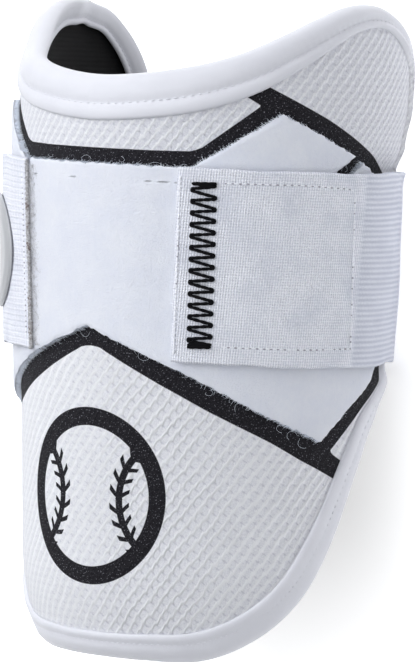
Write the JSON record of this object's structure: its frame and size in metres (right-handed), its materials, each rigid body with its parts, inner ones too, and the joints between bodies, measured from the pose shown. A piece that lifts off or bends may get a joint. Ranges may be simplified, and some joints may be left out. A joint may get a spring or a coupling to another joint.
{
  "type": "baseball elbow guard",
  "caption": "Padded elbow guard: curved foam shell with a forearm tongue and raised wings, bound edge, pile panel and a wide elastic band closed across the front.",
  "frame": {"origin": "middle of the flat stretch of band that the guard rests on", "axes": "+Y along the arm from the forearm tongue to the upper wings, +Z out of the front of the guard, +X across the arm to the side where the stitched band end points away from"},
  "size_m": [0.1321, 0.2036, 0.1031],
  "materials": {
    "face_mesh": "white warp-knit mesh with printed black stripes",
    "lining": "black ribbed lining with a slight shine",
    "binding": "soft smooth white turned binding",
    "pile": "brushed white pile",
    "elastic": "white woven elastic, ribbed along its length",
    "hook": "white hook tape",
    "badge": "satin silver-grey moulded rubber"
  },
  "bodies": {
    "root": {"padded_shell": "face_mesh", "inner_lining": "lining", "edge_binding": "binding", "front_pile_panel": "pile", "side_pile_patch_right": "pile", "side_pile_patch_left": "pile", "elastic_band": "elastic", "hook_patch_right": "hook", "hook_patch_left": "hook", "round_badge": "badge"}
  },
  "joints": []
}
